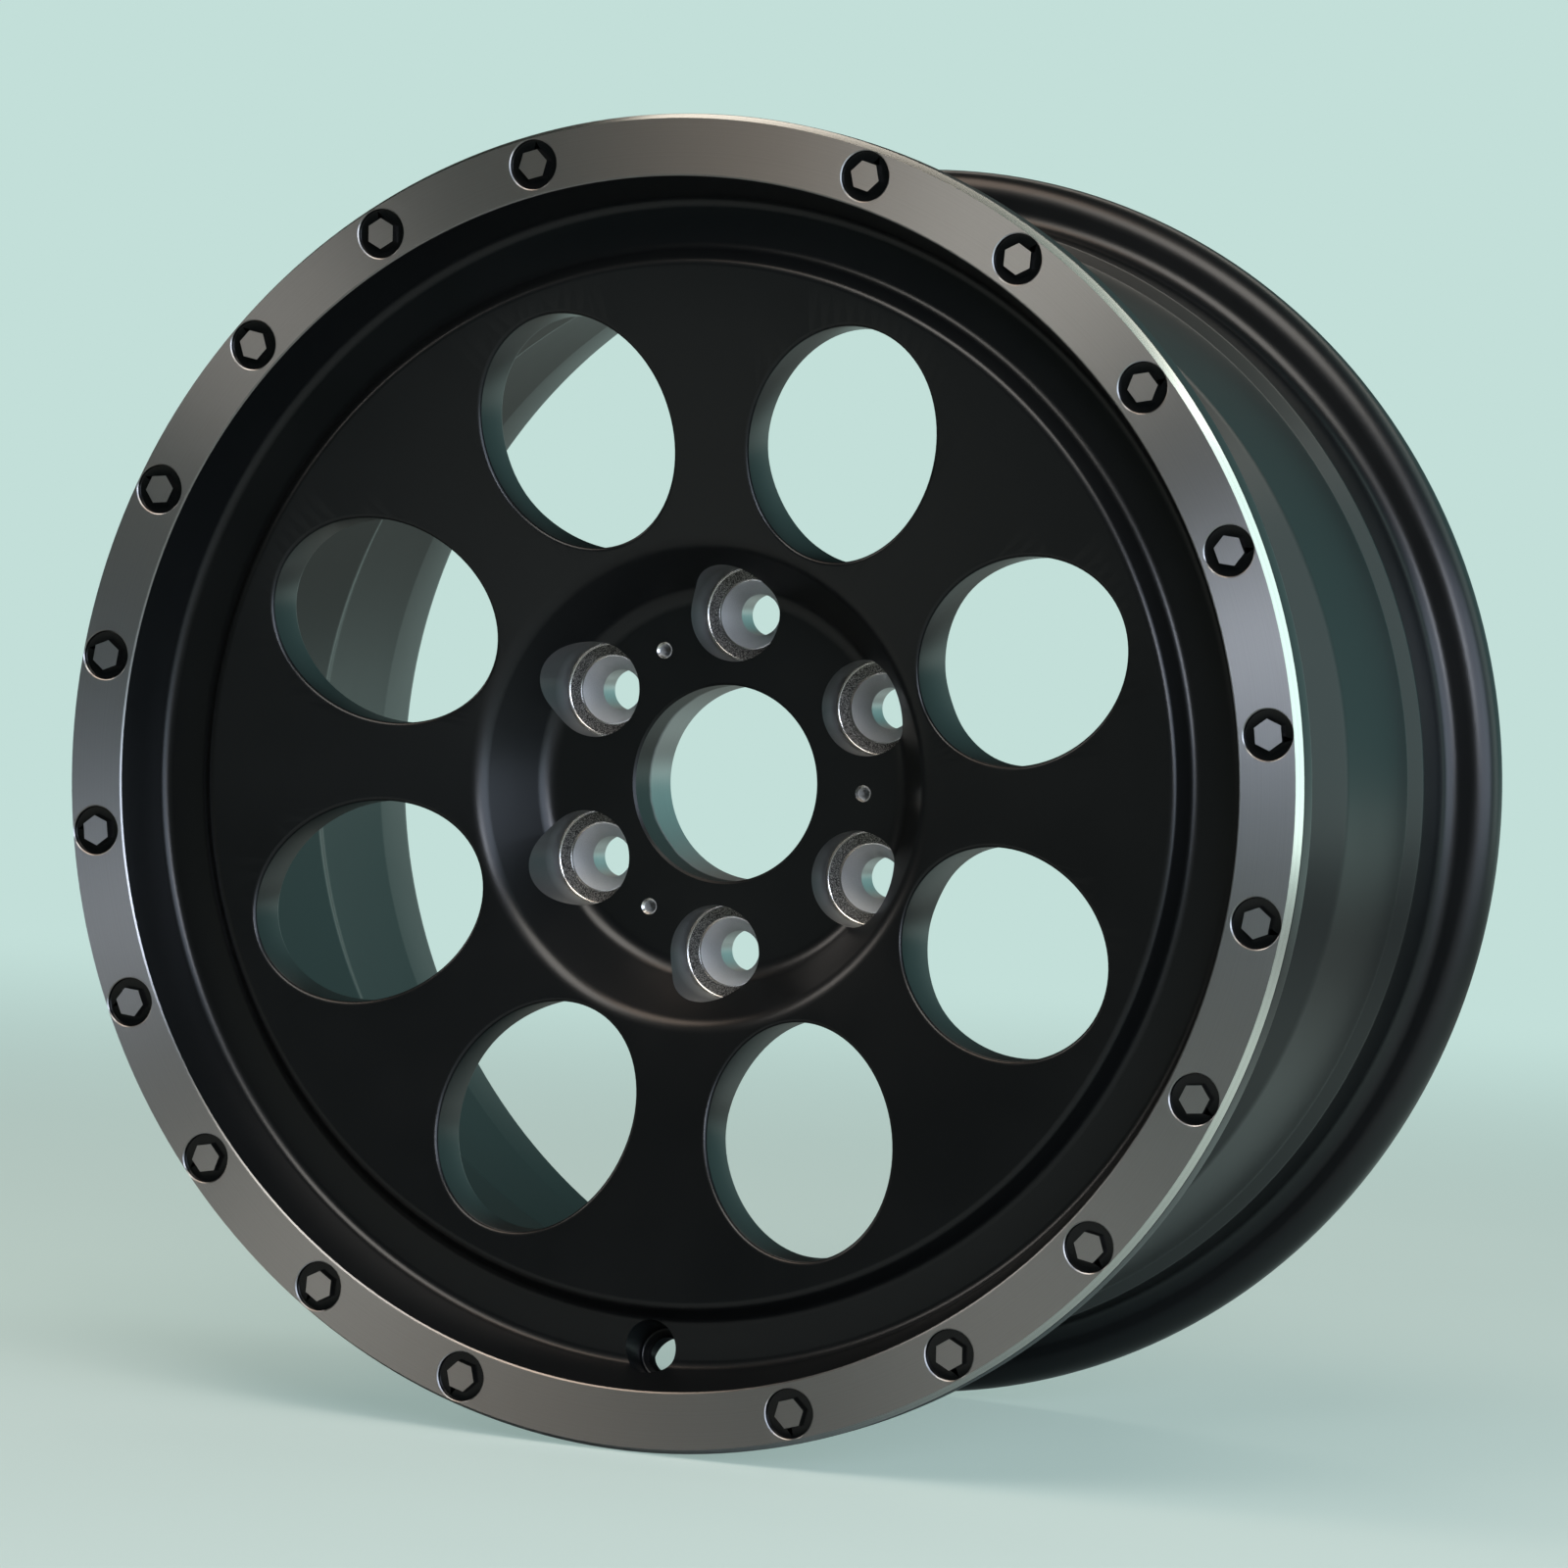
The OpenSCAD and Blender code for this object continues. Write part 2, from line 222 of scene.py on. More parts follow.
# The section's corners as (radius, depth, rounding)
def sectionCorners():
    seatEnd = seatR - rim["seatWidth"] * math.tan(math.radians(rim["seatAngle"]))
    hump = seatEnd + rim["humpHeight"]
    well = seatR - rim["wellDepth"]
    wellInner = well - rim["wall"]
    rampTop = seatR - rim["barrelDepth"]
    barrelEnd = rampTop + rim["barrelRise"]
    frontSeat = ring["thickness"]
    frontHump = frontSeat + rim["seatWidth"]
    rearHump = rearSeat - rim["seatWidth"]
    humpFoot = rearHump - rim["humpLength"] - rim["humpFoot"]
    wellEnd = frontSeat + rim["wellEnd"]
    rampTopDepth = wellEnd + rim["rampLength"]
    turnR = disc["backTurnRadius"]
    front = [
        (hub["boreRadius"] + hub["boreChamfer"], hubFace, 0),
        (hub["faceRadius"], hubFace, hub["recessFillet"]),
        (hub["recessRadius"], disc["innerDepth"], hub["recessEdge"]),
        (window["circleRadius"], disc["middleDepth"], disc["crownRadius"]),
        (discR, disc["edgeDepth"], disc["edgeRadius"]),
        (channelInnerR, disc["channelDepth"], disc["channelFillet"]),
        (channelOuterR, disc["channelDepth"], disc["channelFillet"]),
        (ringInnerR, ring["chamfer"], 0),
        (ringInnerR + ring["chamfer"], 0, 0),
        (flangeR - ring["bevelWidth"], 0, 0),
        (flangeR, ring["bevelDepth"], ring["edgeRadius"]),
    ]
    tyreSide = [
        (flangeR, frontSeat, ring["backRadius"]),
        (seatR, frontSeat, rim["seatFillet"]),
        (seatEnd, frontHump, rim["humpRadius"]),
        (hump, frontHump + rim["humpLength"], rim["humpRadius"]),
        (well, frontSeat + rim["wellStart"], rim["wellRadius"]),
        (well, wellEnd, rim["wellRadius"]),
        (rampTop, rampTopDepth, rim["wellRadius"]),
        (barrelEnd, humpFoot, rim["humpRadius"]),
        (hump, rearHump - rim["humpLength"], rim["humpRadius"]),
        (seatEnd, rearHump, rim["humpRadius"]),
        (seatR, rearSeat, rim["seatFillet"]),
        (flangeR, rearSeat, rim["flangeRadius"]),
        (flangeR, overallWidth, rim["edgeRadius"]),
    ]
    inner = [
        (flangeR - rim["lipHeight"], overallWidth, rim["edgeRadius"]),
        (seatR - rim["wall"], rearSeat, rim["lipRadius"]),
        (barrelEnd - rim["wall"], humpFoot, rim["barrelRadius"]),
        (rampTop - rim["wall"], rampTopDepth, rim["wellRadius"]),
        (wellInner, wellEnd, rim["wellRadius"]),
        (wellInner, faceDepth(discR) + disc["outerThickness"], disc["backFillet"]),
        (turnR, faceDepth(turnR) + disc["middleThickness"], disc["backTurnFillet"]),
        (windowInnerR, faceDepth(windowInnerR) + disc["innerThickness"], disc["backFillet"]),
        (hub["padRadius"], padDepth, hub["padEdge"]),
        (hub["boreRadius"] + hub["leadChamfer"], padDepth, 0),
        (hub["boreRadius"], padDepth - hub["leadChamfer"], 0),
        (hub["boreRadius"], hubFace + hub["boreChamfer"], 0),
    ]
    return front, tyreSide, inner


# The corner itself, or the points of the arc that rounds it
def roundCorner(before, corner, after, radius, stepAngle=7.5):
    if radius == 0:
        return [Vector(corner)]
    b = Vector(corner)
    u = (Vector(before) - b).normalized()
    w = (Vector(after) - b).normalized()
    half = u.angle(w) / 2
    centre = b + (u + w).normalized() * radius / math.sin(half)
    start = b + u * radius / math.tan(half) - centre
    end = b + w * radius / math.tan(half) - centre
    turn = start.angle_signed(end)
    count = max(2, math.ceil(abs(math.degrees(turn)) / stepAngle))
    first = math.atan2(start.y, start.x)
    return [
        centre + radius * Vector((math.cos(first - turn * i / count), math.sin(first - turn * i / count)))
        for i in range(count + 1)
    ]


def roundedLoop(corners):
    points = []
    for i, (r, d, radius) in enumerate(corners):
        before = corners[i - 1][:2]
        after = corners[(i + 1) % len(corners)][:2]
        points += roundCorner(before, (r, d), after, radius)
    return points


# Modelling helpers

# A mesh object that holds one vertex, open in edit mode
def startVertex(name, place):
    clearSelection()
    bpy.ops.mesh.primitive_plane_add(size=mm, location=(0, 0, 0))
    obj = bpy.context.object
    obj.name = name
    bpy.ops.object.mode_set(mode="EDIT")
    bpy.ops.mesh.merge(type="CENTER")
    bpy.ops.transform.translate(value=place)
    return obj


# Turns every face outward and leaves edit mode
def closeShape():
    bpy.ops.mesh.select_all(action="SELECT")
    bpy.ops.mesh.normals_make_consistent(inside=False)
    bpy.ops.object.mode_set(mode="OBJECT")


# Extrudes a vertex along points given as (radius, depth) in mm, in the plane above the axis
def drawOutline(name, points, closed):
    obj = startVertex(name, (0, points[0][1] * mm, points[0][0] * mm))
    for a, b in zip(points, points[1:]):
        step = (0, (b[1] - a[1]) * mm, (b[0] - a[0]) * mm)
        bpy.ops.mesh.extrude_region_move(TRANSFORM_OT_translate={"value": step})
    if closed:
        bpy.ops.object.mode_set(mode="OBJECT")
        for i in (0, len(points) - 1):
            obj.data.vertices[i].select = True
        bpy.ops.object.mode_set(mode="EDIT")
        bpy.ops.mesh.edge_face_add()
    return obj


# Spins an outline about the Y axis and closes its poles
def turned(name, points, steps, closed=False):
    obj = drawOutline(name, points, closed)
    bpy.ops.mesh.select_all(action="SELECT")
    bpy.ops.mesh.spin(steps=steps, angle=2 * math.pi, center=(0, 0, 0), axis=(0, 1, 0), use_auto_merge=True)
    bpy.ops.mesh.select_all(action="SELECT")
    bpy.ops.mesh.remove_doubles(threshold=weld * mm)
    closeShape()
    return obj


# Leans a piece drawn about the Y axis, and moves it to an angle from the top, a radius and a depth
def placed(obj, angle, r, d, lean=0):
    place = (
        Matrix.Rotation(-math.radians(angle), 4, "Y")
        @ Matrix.Translation(Vector((0, d * mm, r * mm)))
        @ Matrix.Rotation(math.radians(lean), 4, "X")
    )
    only(obj)
    obj.matrix_world = place
    bpy.ops.object.transform_apply(location=True, rotation=True, scale=True)
    return obj


# Copies of a cutter round the axis, joined into one
def repeated(obj, count, start=0, skip=()):
    copies = []
    for i in range(count):
        if i in skip:
            continue
        only(obj)
        bpy.ops.object.duplicate()
        copy = bpy.context.object
        copy.matrix_world = Matrix.Rotation(-math.radians(start + i * 360 / count), 4, "Y")
        copies.append(copy)
    only(obj)
    bpy.ops.object.delete()
    clearSelection()
    for copy in copies:
        copy.select_set(True)
    bpy.context.view_layer.objects.active = copies[0]
    bpy.ops.object.transform_apply(location=True, rotation=True, scale=True)
    bpy.ops.object.join()
    return bpy.context.object


# A boolean that gives the cut faces the cutter's own finishes
def cut(obj, cutter):
    modifier = obj.modifiers.new("cut", "BOOLEAN")
    modifier.operation = "DIFFERENCE"
    modifier.solver = "MANIFOLD"
    modifier.material_mode = "TRANSFER"
    modifier.object = cutter
    applyModifiers(obj)
    only(cutter)
    bpy.ops.object.delete()


# Points on an arc about (r, d); 0 degrees points outward, 90 inboard
def arc(r, d, radius, start, end, count):
    return [
        (
            r + radius * math.cos(math.radians(start + (end - start) * i / count)),
            d + radius * math.sin(math.radians(start + (end - start) * i / count)),
        )
        for i in range(count + 1)
    ]


# Draws a plan as (across, up) in mm at a depth and gives it its length along the axis
def prism(name, plan, fromDepth, toDepth):
    obj = startVertex(name, (plan[0][0] * mm, fromDepth * mm, plan[0][1] * mm))
    for a, b in zip(plan, plan[1:]):
        step = ((b[0] - a[0]) * mm, 0, (b[1] - a[1]) * mm)
        bpy.ops.mesh.extrude_region_move(TRANSFORM_OT_translate={"value": step})
    bpy.ops.mesh.select_all(action="SELECT")
    bpy.ops.mesh.edge_face_add()
    bpy.ops.mesh.extrude_region_move(TRANSFORM_OT_translate={"value": (0, (toDepth - fromDepth) * mm, 0)})
    closeShape()
    return obj


# Gives each face the finish that choose(radius, depth) names for its middle, in mm
def finish(obj, choose):
    names = []
    obj.data.materials.clear()
    for face in obj.data.polygons:
        middle = face.center / mm
        name = choose(math.hypot(middle.x, middle.z), middle.y)
        if name not in names:
            names.append(name)
            obj.data.materials.append(materials[name])
        face.material_index = names.index(name)


# The cutters

lug = {
    "count": 6,
    "circleRadius": 57.15,
    "pocketRadius": 16.1,
    "pocketDepth": 13.7,
    "pocketFillet": 1.1,
    "seatRadius": 11.5,
    "seatFall": 0.8,
    "seatAngle": 60,
    "holeRadius": 7,
    "mouthEdge": 0.45,  # broken edge at the mouth of the seat
    "mouthShape": (0.1, 0.2),  # how far its ends lie off the seat's rim, as shares of it
    "steps": 96,
    "clear": 5,
    "clearBack": 1,
}
capScrew = {
    "count": 3,
    "turn": 30,
    "circleRadius": 50,
    "coreRadius": 2.1,
    "sinkRadius": 2.8,
    "depth": 12,
    "steps": 32,
    "clear": 1,
}
relief = {
    "inner": 46,
    "outer": 64,
    "span": 12,  # degrees
    "depth": 9,
    "arcSteps": 4,
    "endSteps": 12,
    "clear": 2,
}
valve = {
    "inset": 6.1,
    "lean": 14,
    "pocketRadius": 9,
    "pocketDepth": 14,
    "pocketFillet": 1,
    "holeRadius": 5.75,
    "sinkRadius": 6.5,
    "web": 4.5,
    "spotRadius": 8.5,
    "reach": 17,
    "steps": 64,
    "clear": 6,
}


def windowCutter(frontDepth, backDepth):
    n = window["points"]
    centre = window["circleRadius"]
    rows = [(window["frontEdge"], frontDepth, -window["clear"])]  # growth of the oval, face, dip below it
    for edge, depthAt, side, turns in (  # the turns are degrees round each rounded edge
        (window["frontEdge"], frontDepth, 1, (0, 15, 30, 45, 60, 75, 90)),
        (window["backEdge"], backDepth, -1, (90, 70, 45, 20, 0)),
    ):
        for turn in turns:
            a = math.radians(turn)
            rows.append((edge * (1 - math.sin(a)), depthAt, side * edge * (1 - math.cos(a))))
    rows.append((window["backEdge"], backDepth, window["clearBack"]))
    clearSelection()
    bpy.ops.mesh.primitive_circle_add(vertices=n, radius=mm, rotation=(math.pi / 2, 0, 0))
    obj = bpy.context.object
    bpy.ops.object.transform_apply(location=True, rotation=True, scale=True)
    angles = [math.atan2(v.co.z, v.co.x) for v in obj.data.vertices]
    bpy.ops.object.mode_set(mode="EDIT")
    for i in range(len(rows) - 1):
        bpy.ops.mesh.extrude_region_move(TRANSFORM_OT_translate={"value": (0, mm, 0)})
    bpy.ops.object.mode_set(mode="OBJECT")
    for i, v in enumerate(obj.data.vertices):  # each row follows the face that it rounds
        grow, depthAt, dip = rows[i // n]
        x = (window["width"] / 2 + grow) * math.cos(angles[i % n])
        z = centre + (window["length"] / 2 + grow) * math.sin(angles[i % n])
        v.co = (x * mm, (depthAt(math.hypot(x, z)) + dip) * mm, z * mm)
    for end in (range(n), range(n * (len(rows) - 1), n * len(rows))):
        bpy.ops.object.mode_set(mode="EDIT")
        bpy.ops.mesh.select_all(action="DESELECT")
        bpy.ops.object.mode_set(mode="OBJECT")
        for i in end:
            obj.data.vertices[i].select = True
        bpy.ops.object.mode_set(mode="EDIT")
        bpy.ops.mesh.edge_face_add()
    closeShape()
    finish(obj, lambda r, d: "powderCoat")
    return repeated(obj, window["count"], window["turn"])


def lugCutter():
    shoulder = hubFace + lug["pocketDepth"]
    seat = shoulder + lug["seatFall"]
    coneEnd = seat + (lug["seatRadius"] - lug["holeRadius"]) / math.tan(math.radians(lug["seatAngle"] / 2))
    wallEnd = shoulder - lug["pocketFillet"]
    wall = lug["pocketRadius"]
    seatTop = lug["seatRadius"]
    mouth = lug["mouthEdge"]
    rise, inset = lug["mouthShape"]
    end = padDepth + lug["clearBack"]
    fillet = roundCorner((wall, 0), (wall, shoulder), (seatTop, seat), lug["pocketFillet"], stepAngle=15)
    outline = [(0, -lug["clear"]), (wall, -lug["clear"])] + [tuple(p) for p in fillet]
    outline += [(seatTop + mouth, seat - rise * mouth), (seatTop - inset * mouth, seat + mouth)]
    outline += [(lug["holeRadius"], coneEnd), (lug["holeRadius"], end), (0, end)]

    def choose(r, d):
        if d > coneEnd:
            return "reamedBore"
        if d > seat + mouth:
            return "coneSeat"
        if r < seatTop + mouth:
            return "brightCut"
        if r < fillet[-2].x:
            return "oversprayed"
        return "brightCut" if d > wallEnd else "pocketWall"

    obj = turned("lugCutter", outline, lug["steps"])
    finish(obj, choose)
    placed(obj, 0, lug["circleRadius"], 0)
    return repeated(obj, lug["count"])


def markCutter():
    r = ring["markDia"] / 2
    rimW = ring["markRim"]
    deep = ring["markDepth"]
    fillet = ring["markFillet"]
    outline = [(0, -ring["clear"]), (r + rimW, -ring["clear"]), (r + rimW, 0), (r, rimW)]
    outline += arc(r - fillet, deep - fillet, fillet, 0, 90, count=3) + [(0, deep)]
    obj = turned("markCutter", outline, ring["markSteps"])
    finish(obj, lambda radius, d: "machinedRing" if radius > r - 2 * slack and d < rimW else "markPaint")
    corner = ring["hexFlats"] / 2 / math.cos(math.pi / 6)
    plan = [(corner * math.cos(i * math.pi / 3), corner * math.sin(i * math.pi / 3)) for i in range(6)]
    hexagon = prism("hexagon", plan, ring["hexEdge"], ring["hexReach"])
    clearSelection()
    for v in hexagon.data.vertices:
        v.select = v.co.y < (ring["hexEdge"] + slack) * mm
    for face in hexagon.data.polygons:
        face.select = all(hexagon.data.vertices[i].select for i in face.vertices)
    bpy.context.view_layer.objects.active = hexagon
    bpy.ops.object.mode_set(mode="EDIT")
    narrow = 1 - 2 * ring["hexEdge"] / ring["hexFlats"]
    bpy.ops.mesh.extrude_region_move(TRANSFORM_OT_translate={"value": (0, -ring["hexEdge"] * mm, 0)})
    bpy.ops.transform.resize(value=(narrow, 1, narrow), center_override=(0, 0, 0))
    bpy.ops.mesh.extrude_region_move(TRANSFORM_OT_translate={"value": (0, -ring["hexReach"] * mm, 0)})
    closeShape()
    finish(hexagon, lambda radius, d: "brightCut" if 0 < d < ring["hexEdge"] else "markPaint")
    cut(obj, hexagon)
    placed(obj, 0, markCircleR, 0)
    return repeated(obj, ring["markPlaces"], skip=(0, ring["markPlaces"] // 2))


def capScrewCutter():
    sink = capScrew["sinkRadius"]
    core = capScrew["coreRadius"]
    start = hubFace - capScrew["clear"]
    bottom = hubFace + capScrew["depth"]
    outline = [(0, start), (sink, start), (sink, hubFace), (core, hubFace + sink - core)]
    outline += [(core, bottom), (0, bottom)]
    obj = turned("capScrewCutter", outline, capScrew["steps"])
    finish(obj, lambda r, d: "brightCut" if d < hubFace + sink - core else "coneSeat")
    placed(obj, 0, capScrew["circleRadius"], 0)
    return repeated(obj, capScrew["count"], capScrew["turn"])


def reliefCutter():
    middle = (relief["inner"] + relief["outer"]) / 2
    endR = (relief["outer"] - relief["inner"]) / 2
    half = relief["span"] / 2
    plan = []
    for radius, side in ((relief["outer"], 1), (relief["inner"], -1)):
        for i in range(relief["arcSteps"] + 1):
            a = math.radians(side * half * (1 - 2 * i / relief["arcSteps"]))
            plan.append((radius * math.sin(a), radius * math.cos(a)))
        turn = -side * half
        for i in range(1, relief["endSteps"]):
            a = math.radians(turn)
            b = math.radians(180 * i / relief["endSteps"])
            along = side * endR * math.cos(b)
            across = -side * endR * math.sin(b)
            plan.append((
                (middle + along) * math.sin(a) + across * math.cos(a),
                (middle + along) * math.cos(a) - across * math.sin(a),
            ))
    obj = prism("reliefCutter", plan, padDepth - relief["depth"], padDepth + relief["clear"])
    finish(obj, lambda r, d: "powderCoat")
    return repeated(obj, lug["count"], 180 / lug["count"])


def valveCutter():
    bottom = valve["pocketDepth"]
    hole = valve["holeRadius"]
    sink = valve["sinkRadius"]
    webEnd = bottom + valve["web"]
    fillet = valve["pocketFillet"]
    outline = [(0, -valve["clear"]), (valve["pocketRadius"], -valve["clear"])]
    outline += arc(valve["pocketRadius"] - fillet, bottom - fillet, fillet, 0, 90, count=4)
    outline += [(sink, bottom), (hole, bottom + sink - hole), (hole, webEnd), (valve["spotRadius"], webEnd)]
    outline += [(valve["spotRadius"], webEnd + valve["reach"]), (0, webEnd + valve["reach"])]
    obj = turned("valveCutter", outline, valve["steps"])
    finish(obj, lambda r, d: "powderCoat")
    return placed(obj, 180, channelOuterR - valve["inset"], disc["channelDepth"], valve["lean"])


# Materials

noiseSpan = {"From Min": 0.3, "From Max": 0.7}  # what noise mostly keeps to
coat = {
    "dark": "#0c0e0f",
    "light": "#101213",
    "roughness": (0.29, 0.33),
    "cloud": 45,  # mm across a patch of slightly thicker coat
    "peel": 1.4,  # mm from bump to bump of the orange peel
    "peelHeight": 0.03,  # mm
}
ringFinish = {
    "dark": "#b4b3b2",
    "light": "#c4c3c2",
    "roughness": (0.38, 0.44),
    "stretch": 0.9,  # how far the grooves draw a highlight out
    "turn": 0.25,  # of a whole turn: across the grooves instead of along them
}
bright = {"dark": "#dcdad3", "light": "#f2f0ea", "roughness": 0.24}
enamel = {
    "dark": "#080909",
    "light": "#0c0d0e",
    "roughness": 0.24,
    "brush": 2,  # mm from stroke to stroke
    "brushHeight": 0.05,
}
counterbore = {
    "dark": "#8b8e8f",
    "light": "#a3a6a7",
    "coat": "#1b1d1e",
    "roughness": 0.34,
    "coatedTo": 2,  # mm below the hub's face
    "bareFrom": 13,
    "bareAtMouth": 0.15,  # share of metal that shows through the coat
}
overspray = {
    "dark": "#2b2a29",
    "light": "#b3b1ad",
    "roughness": 0.45,
    "speck": 0.32,  # mm
    "cover": 0.53,  # the level of the noise that parts coat from metal
    "blur": 0.07,  # how softly it does
}
bare = {
    "dark": "#cbcdce",
    "light": "#eff0f0",
    "feed": 0.45,  # mm from groove to groove, coarser than the real 0.2 so that it shows
    "reamed": 0.4,
    "faced": 0.36,
    "formCut": 0.5,
    "formCutMetallic": 0.45,
    "grain": 0.3,  # mm
    "grainHeight": 0.04,
}
bore = {
    "dark": "#a9acad",
    "light": "#cccecf",
    "coat": "#121414",
    "roughness": 0.34,
    "maskedFrom": 13,  # mm below the hub's face
    "fuzz": 2.5,  # mm wide
    "wander": 9,  # mm from wave to wave of the line
    "wave": 3,  # mm high
    "scuffLength": 11.111,  # mm
    "scuffWidth": 0.7143,
    "scuffHeight": 0.03,
}


# Adds a node; its settings and links name sockets, or number them on nodes whose names repeat
# A colour Mix takes its share at 0 and its colours at 6 and 7, and gives the result at 2
def addNode(tree, kind, settings=None, links=None):
    node = tree.nodes.new("ShaderNode" + kind)
    for key, value in (settings or {}).items():
        if isinstance(key, str) and hasattr(node, key):
            setattr(node, key, value)
        else:
            node.inputs[key].default_value = value
    for key, source in (links or {}).items():
        tree.links.new(source, node.inputs[key])
    return node


# A material with its shader, the mix of its dark and light tones, and the point that its patterns read
def newMaterial(name, look, roughness, metallic=0.0):
    material = bpy.data.materials.new(name)
    material.use_nodes = True
    tree = material.node_tree
    tree.nodes.clear()
    settings = {"data_type": "RGBA", 6: hexColour(look["dark"]), 7: hexColour(look["light"])}
    tones = addNode(tree, "Mix", settings)
    settings = {"Roughness": roughness, "Metallic": metallic}
    shader = addNode(tree, "BsdfPrincipled", settings, {"Base Color": tones.outputs[2]})
    addNode(tree, "OutputMaterial", links={"Surface": shader.outputs[0]})
    place = addNode(tree, "TexCoord").outputs["Object"]
    return material, tree, shader, tones, place


# Fine grooves left by a tool, across a face, ring by ring, or down a hole's wall, as the mix of the tones
def grooves(tree, tones, place, across):
    if across:
        flat = addNode(tree, "VectorMath", {"operation": "MULTIPLY", 1: (1, 0, 1)}, {0: place})
        length = addNode(tree, "VectorMath", {"operation": "LENGTH"}, {0: flat.outputs[0]})
        measure = length.outputs["Value"]
    else:
        measure = addNode(tree, "SeparateXYZ", links={0: place}).outputs["Y"]
    settings = {"noise_dimensions": "1D", "Scale": 1 / (bare["feed"] * mm), "Detail": 3.0, "Roughness": 0.7}
    marks = addNode(tree, "TexNoise", settings, {"W": measure}).outputs["Fac"]
    tree.links.new(marks, tones.inputs[0])
    return marks


# Satin black polyester powder coat, sprayed and baked: deep black, soft-edged highlights, faint orange peel
def powderCoat():
    low, high = coat["roughness"]
    material, tree, shader, tones, place = newMaterial("satinBlackPowderCoat", coat, low)
    settings = {"Scale": 1 / (coat["cloud"] * mm), "Detail": 3.0}
    cloud = addNode(tree, "TexNoise", settings, {"Vector": place}).outputs["Fac"]
    tree.links.new(cloud, tones.inputs[0])
    satin = addNode(tree, "MapRange", {**noiseSpan, "To Min": low, "To Max": high}, {"Value": cloud})
    tree.links.new(satin.outputs[0], shader.inputs["Roughness"])
    peel = addNode(tree, "TexNoise", {"Scale": 1 / (coat["peel"] * mm), "Detail": 2.0}, {"Vector": place})
    settings = {"Strength": 0.1, "Distance": coat["peelHeight"] * mm}
    bump = addNode(tree, "Bump", settings, {"Height": peel.outputs["Fac"]})
    tree.links.new(bump.outputs[0], shader.inputs["Normal"])
    return material


# Face-turned aluminium under thin grey lacquer: the grooves draw each highlight out across the ring's width
def machinedRing():
    low, high = ringFinish["roughness"]
    material, tree, shader, tones, place = newMaterial("tintedTurnedAluminium", ringFinish, low, 1.0)
    marks = grooves(tree, tones, place, True)
    gloss = addNode(tree, "MapRange", {**noiseSpan, "To Min": low, "To Max": high}, {"Value": marks})
    tree.links.new(gloss.outputs[0], shader.inputs["Roughness"])
    shader.inputs["Anisotropic"].default_value = ringFinish["stretch"]
    shader.inputs["Anisotropic Rotation"].default_value = ringFinish["turn"]
    tangent = addNode(tree, "Tangent", {"direction_type": "RADIAL", "axis": "Y"})
    tree.links.new(tangent.outputs[0], shader.inputs["Tangent"])
    return material


# Diamond-cut aluminium under clear lacquer, on bevel and cut edges: near white, with fine turning lines
def brightCut():
    material, tree, shader, tones, place = newMaterial(
        "diamondCutAluminium", bright, bright["roughness"], 1.0
    )
    grooves(tree, tones, place, True)
    return material


# Black enamel brushed into the milled marks: glossier than the coat, with slight unevenness
def markPaint():
    material, tree, shader, tones, place = newMaterial("blackEnamelInfill", enamel, enamel["roughness"])
    settings = {"Scale": 1 / (enamel["brush"] * mm), "Detail": 2.0}
    uneven = addNode(tree, "TexNoise", settings, {"Vector": place}).outputs["Fac"]
    tree.links.new(uneven, tones.inputs[0])
    settings = {"Strength": 0.2, "Distance": enamel["brushHeight"] * mm}
    bump = addNode(tree, "Bump", settings, {"Height": uneven})
    tree.links.new(bump.outputs[0], shader.inputs["Normal"])
    return material


# Counterbored aluminium dusted with coat from the front: black at the mouth, grey metal further in
def pocketWall():
    material, tree, shader, tones, place = newMaterial(
        "dustedCounterboredAluminium", counterbore, counterbore["roughness"]
    )
    grooves(tree, tones, place, False)
    depth = addNode(tree, "SeparateXYZ", links={0: place}).outputs["Y"]
    settings = {
        "From Min": (hubFace + counterbore["coatedTo"] - halfWidth) * mm,
        "From Max": (hubFace + counterbore["bareFrom"] - halfWidth) * mm,
        "To Min": counterbore["bareAtMouth"],
    }
    metal = addNode(tree, "MapRange", settings, {"Value": depth}).outputs[0]
    settings = {"data_type": "RGBA", 6: hexColour(counterbore["coat"])}
    mix = addNode(tree, "Mix", settings, {0: metal, 7: tones.outputs[2]})
    tree.links.new(mix.outputs[2], shader.inputs["Base Color"])
    tree.links.new(metal, shader.inputs["Metallic"])
    return material


# Overspray on the shoulder round the seat: fine dark specks on dull metal
def oversprayed():
    material, tree, shader, tones, place = newMaterial(
        "oversprayedAluminium", overspray, overspray["roughness"]
    )
    settings = {"Scale": 1 / (overspray["speck"] * mm), "Detail": 2.0}
    grit = addNode(tree, "TexNoise", settings, {"Vector": place})
    cover, blur = overspray["cover"], overspray["blur"]
    settings = {"From Min": cover - blur, "From Max": cover + blur}
    metal = addNode(tree, "MapRange", settings, {"Value": grit.outputs["Fac"]}).outputs[0]
    tree.links.new(metal, tones.inputs[0])
    tree.links.new(metal, shader.inputs["Metallic"])
    return material


# Bare aluminium of the seats and screw holes, dulled by the form tool: light grey, matt, so partly diffuse
def coneSeat():
    material, tree, shader, tones, place = newMaterial(
        "bareFormCutAluminium", bare, bare["formCut"], bare["formCutMetallic"]
    )
    settings = {"Scale": 1 / (bare["grain"] * mm), "Detail": 4.0}
    grain = addNode(tree, "TexNoise", settings, {"Vector": place}).outputs["Fac"]
    tree.links.new(grain, tones.inputs[0])
    settings = {"Strength": 0.25, "Distance": bare["grainHeight"] * mm}
    bump = addNode(tree, "Bump", settings, {"Height": grain})
    tree.links.new(bump.outputs[0], shader.inputs["Normal"])
    return material


